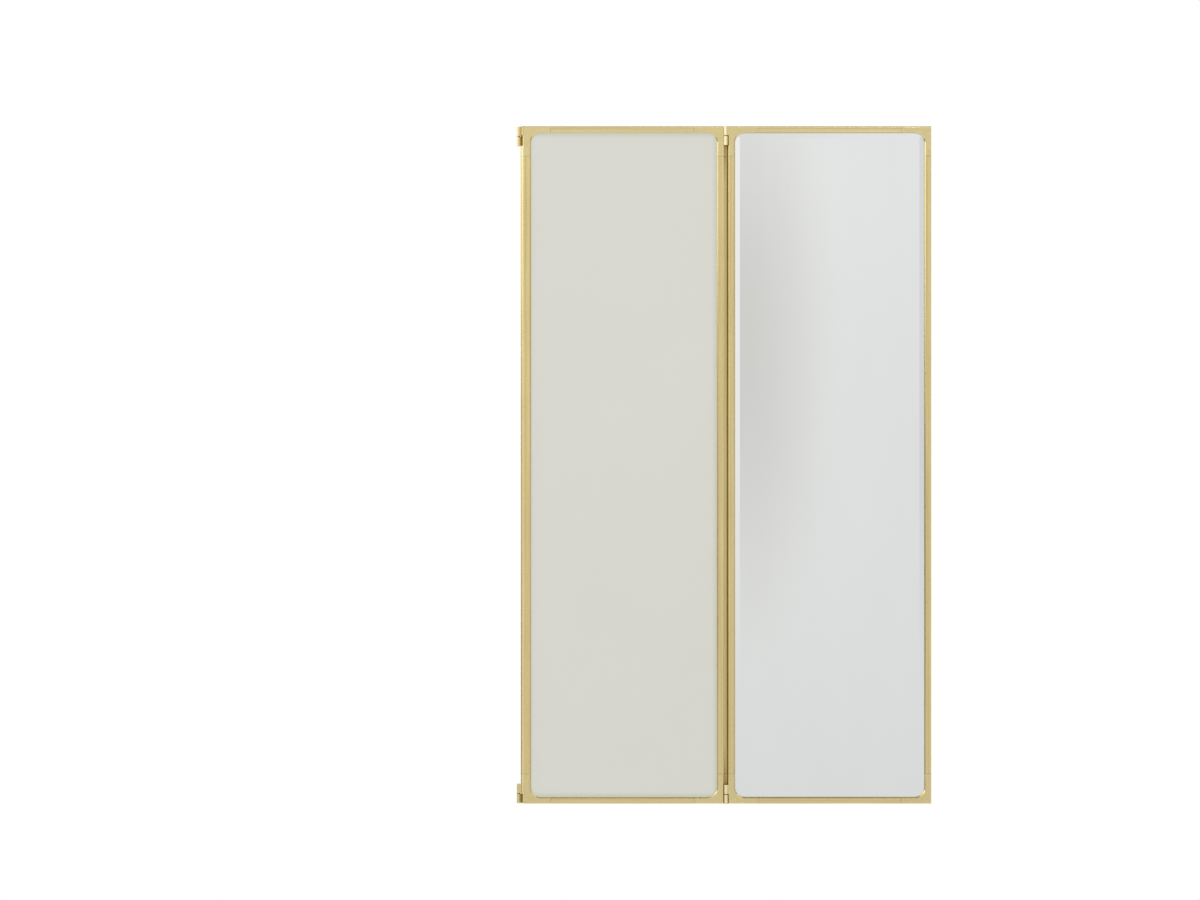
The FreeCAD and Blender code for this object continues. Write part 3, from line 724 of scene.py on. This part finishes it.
# Fold dots.
# Clear silicone dots stuck to the centre panel's right corners. The shut left wing rests on them
# instead of on the brass.
silicone, tree, shader = new_finish("clear silicone")
place = add_node(tree, "ShaderNodeTexCoord", {}).outputs["Object"]
cloud = add_node(tree, "ShaderNodeTexNoise", {"Vector": place, "Scale": 1000 / 3, "Detail": 2})
tone = add_node(
    tree, "ShaderNodeMix", {0: cloud.outputs[0], 6: linear("#E3E3DE"), 7: linear("#EDEDEA")},
    data_type="RGBA")
tree.links.new(tone.outputs[2], shader.inputs["Base Color"])
shader.inputs["Roughness"].default_value = 0.3
shader.inputs["IOR"].default_value = 1.41
shader.inputs["Transmission Weight"].default_value = 0.5
set_in_place(eased("fold_dots", silicone, 0.25), "fold_dots")

# Studio.
# A pale floor well below the hung mirror, a grey wall behind the camera that the mirror shows, cloth
# flags round it, three soft lamps, and white air all round.
FLOOR_Z = -2.0
FLOOR_REACH = 5.0
FLOOR_FRONT_Y = -2.4
WALL_Y = -8.0
WALL_LEFT_X = -5.0
WALL_RIGHT_X = 7.0
WALL_REACH = 5.0


def stage_plane(name, corners, finish):
    """A plane of the stage with these four corners. It isn't part of the object."""
    mesh = bpy.data.meshes.new(name)
    mesh.from_pydata(corners, [], [(0, 1, 2, 3)])
    mesh.materials.append(finish)
    plane = bpy.data.objects.new(name, mesh)
    bpy.context.scene.collection.objects.link(plane)
    return plane


def seen_directly(tree):
    """1 for a ray from the camera, off a mirror or through glass, and 0 for one that carries light."""
    path = add_node(tree, "ShaderNodeLightPath", {}).outputs
    shine = add_node(
        tree, "ShaderNodeMath", {0: path["Is Camera Ray"], 1: path["Is Glossy Ray"]},
        operation="MAXIMUM")
    return add_node(
        tree, "ShaderNodeMath", {0: shine.outputs[0], 1: path["Is Transmission Ray"]},
        operation="MAXIMUM").outputs[0]


# Pale matt floor, near white to the eye, with the object's soft shadow still on it.
floor_finish, tree, shader = new_finish("pale floor")
shader.inputs["Base Color"].default_value = linear("#F2F2F2")
shader.inputs["Roughness"].default_value = 0.9
glow = add_node(tree, "ShaderNodeEmission", {"Color": linear("#FFFFFF"), "Strength": 1.0})
share = add_node(tree, "ShaderNodeMath", {0: seen_directly(tree), 1: 0.85}, operation="MULTIPLY")
mixed = add_node(
    tree, "ShaderNodeMixShader", {0: share.outputs[0], 1: shader.outputs[0], 2: glow.outputs[0]})
tree.links.new(mixed.outputs[0], tree.nodes["Material Output"].inputs["Surface"])
stage_plane("floor", [
    (-FLOOR_REACH, FLOOR_FRONT_Y, FLOOR_Z), (FLOOR_REACH, FLOOR_FRONT_Y, FLOOR_Z),
    (FLOOR_REACH, FLOOR_REACH, FLOOR_Z), (-FLOOR_REACH, FLOOR_REACH, FLOOR_Z)], floor_finish)

# A glowing wall, no lamp, with its light and shade painted into the glow: soft grey with a darker,
# warmer cloud on it, lighter upwards, and in its upper part also lighter to the left and darkest far
# right.
wall_finish, tree, shader = new_finish("glowing studio wall")
tree.nodes.remove(shader)
place = add_node(tree, "ShaderNodeTexCoord", {}).outputs["Object"]
spread = add_node(tree, "ShaderNodeSeparateXYZ", {0: place})
upwards = add_node(
    tree, "ShaderNodeMapRange", {0: spread.outputs["Z"], 1: -1.8, 2: 0.6, 3: 0.78, 4: 0.875})
leftwards = add_node(
    tree, "ShaderNodeMapRange", {0: spread.outputs["X"], 1: -1.2, 2: 3.0, 3: 1.08, 4: 0.9})
rightwards = add_node(
    tree, "ShaderNodeMapRange", {0: spread.outputs["X"], 1: 1.4, 2: 3.2, 3: 1.0, 4: 0.95})
cloud_place = add_node(
    tree, "ShaderNodeMapping",
    {"Vector": place, "Location": (0.5, WALL_Y, 0.02), "Scale": (0.43, 1, 1.5)},
    vector_type="TEXTURE")
cloud = add_node(tree, "ShaderNodeTexGradient", {0: cloud_place.outputs[0]}, gradient_type="SPHERICAL")
dimmed = add_node(
    tree, "ShaderNodeMapRange", {0: cloud.outputs["Fac"], 1: 0.0, 2: 1.0, 3: 1.0, 4: 0.8},
    interpolation_type="SMOOTHSTEP")
# A fainter cloud higher up, which only the upper bevel shows.
faint_place = add_node(
    tree, "ShaderNodeMapping",
    {"Vector": place, "Location": (0.4, WALL_Y, 3.0), "Scale": (0.7, 1, 1.2)},
    vector_type="TEXTURE")
faint = add_node(tree, "ShaderNodeTexGradient", {0: faint_place.outputs[0]}, gradient_type="SPHERICAL")
veiled = add_node(
    tree, "ShaderNodeMapRange", {0: faint.outputs["Fac"], 1: 0.0, 2: 1.0, 3: 1.0, 4: 0.88},
    interpolation_type="SMOOTHSTEP")
clouded = add_node(
    tree, "ShaderNodeMath", {0: dimmed.outputs[0], 1: veiled.outputs[0]}, operation="MULTIPLY")
shaded = add_node(
    tree, "ShaderNodeMath", {0: upwards.outputs[0], 1: clouded.outputs[0]}, operation="MULTIPLY")
across = add_node(
    tree, "ShaderNodeMath", {0: leftwards.outputs[0], 1: rightwards.outputs[0]}, operation="MULTIPLY")
fading = add_node(tree, "ShaderNodeMapRange", {0: spread.outputs["Z"], 1: -1.4, 2: -0.4})
graded = add_node(tree, "ShaderNodeMix", {0: fading.outputs[0], 2: 1.0, 3: across.outputs[0]})
level = add_node(
    tree, "ShaderNodeMath", {0: shaded.outputs[0], 1: graded.outputs[0]}, operation="MULTIPLY")
tint = add_node(
    tree, "ShaderNodeMix", {0: cloud.outputs["Fac"], 6: linear("#FDFFFE"), 7: linear("#FFFFFB")},
    data_type="RGBA")
glow = add_node(tree, "ShaderNodeEmission", {"Color": tint.outputs[2], "Strength": level.outputs[0]})
tree.links.new(glow.outputs[0], tree.nodes["Material Output"].inputs["Surface"])
wall = stage_plane("studio_wall", [
    (WALL_LEFT_X, WALL_Y, -WALL_REACH), (WALL_RIGHT_X, WALL_Y, -WALL_REACH),
    (WALL_RIGHT_X, WALL_Y, WALL_REACH), (WALL_LEFT_X, WALL_Y, WALL_REACH)], wall_finish)

# Grey cloth flags to both sides and above, level with the mirror, draw its edges as they do in a
# photographer's studio.
backdrops = [wall]
for name, cloth_name, colour, corners in (
    ("left_flag", "grey cloth flag", "#726E67",
     [(-3, -0.7, -1.4), (-3, 0.9, -1.4), (-3, 0.9, -0.1), (-3, -0.7, -0.1)]),
    ("right_flag", "pale cloth flag", "#C6C2BB",
     [(3, -0.7, -1.8), (3, 0.9, -1.8), (3, 0.9, 0.9), (3, -0.7, 0.9)]),
    ("top_flag", "warm cloth flag", "#B2ADA3",
     [(-1.2, -1.5, 2.2), (1.5, -1.5, 2.2), (1.5, 0.9, 2.2), (-1.2, 0.9, 2.2)]),
):
    cloth, tree, shader = new_finish(cloth_name)
    shader.inputs["Base Color"].default_value = linear(colour)
    shader.inputs["Roughness"].default_value = 0.9
    flag = stage_plane(name, corners, cloth)
    flag.visible_diffuse = False
    backdrops.append(flag)
for backdrop in backdrops:
    backdrop.visible_camera = False
    backdrop.visible_shadow = False

world = bpy.data.worlds.new("white air")
world.use_nodes = True
bpy.context.scene.world = world
tree = world.node_tree
brightness = add_node(tree, "ShaderNodeMapRange", {0: seen_directly(tree), 3: 0.9, 4: 1.0})
tree.links.new(brightness.outputs[0], tree.nodes["Background"].inputs["Strength"])
tree.nodes["Background"].inputs["Color"].default_value = linear("#FFFFFF")

# A lamp to the left draws the round edges, one beside the mirror the upper lips and barrels, and a wide
# one above the camera the upper frame. All face the mirror's middle.
LAMP_TARGET = Vector((0.1, 0, -0.46))
for name, place, width, height, power in (
    ("left_lamp", (-2.7, -2.1, 1.0), 1.8, 1.8, 11),
    ("side_lamp", (-3.3, -0.3, 0.68), 1.2, 1.75, 5.5),
    ("front_lamp", (2.0, -4.4, 3.1), 2.0, 1.2, 34),
):
    lamp = bpy.data.lights.new(name, "AREA")
    lamp.shape = "RECTANGLE"
    lamp.size = width
    lamp.size_y = height
    lamp.energy = power
    stand = bpy.data.objects.new(name, lamp)
    bpy.context.scene.collection.objects.link(stand)
    stand.location = place
    stand.rotation_euler = (LAMP_TARGET - stand.location).to_track_quat("-Z", "Y").to_euler()

# Camera.
# It looks straight along Y. The photograph's 1200 pixels span 1.7707 m at the wings' front, and its
# middle falls left of the object and a little above its middle.
CAMERA_DISTANCE = 5.0
WINGS_FRONT_Y = -0.030
VIEW_WIDTH = 1.7707
VIEW_MIDDLE_X = -0.0328
VIEW_MIDDLE_Z = -0.4379
lens = bpy.data.cameras.new("camera")
lens.sensor_width = 36
lens.lens = lens.sensor_width * CAMERA_DISTANCE / VIEW_WIDTH
camera = bpy.data.objects.new("camera", lens)
bpy.context.scene.collection.objects.link(camera)
camera.location = (VIEW_MIDDLE_X, WINGS_FRONT_Y - CAMERA_DISTANCE, VIEW_MIDDLE_Z)
camera.rotation_euler = (math.radians(90), 0, 0)
bpy.context.scene.camera = camera
bpy.context.scene.view_settings.view_transform = "Standard"
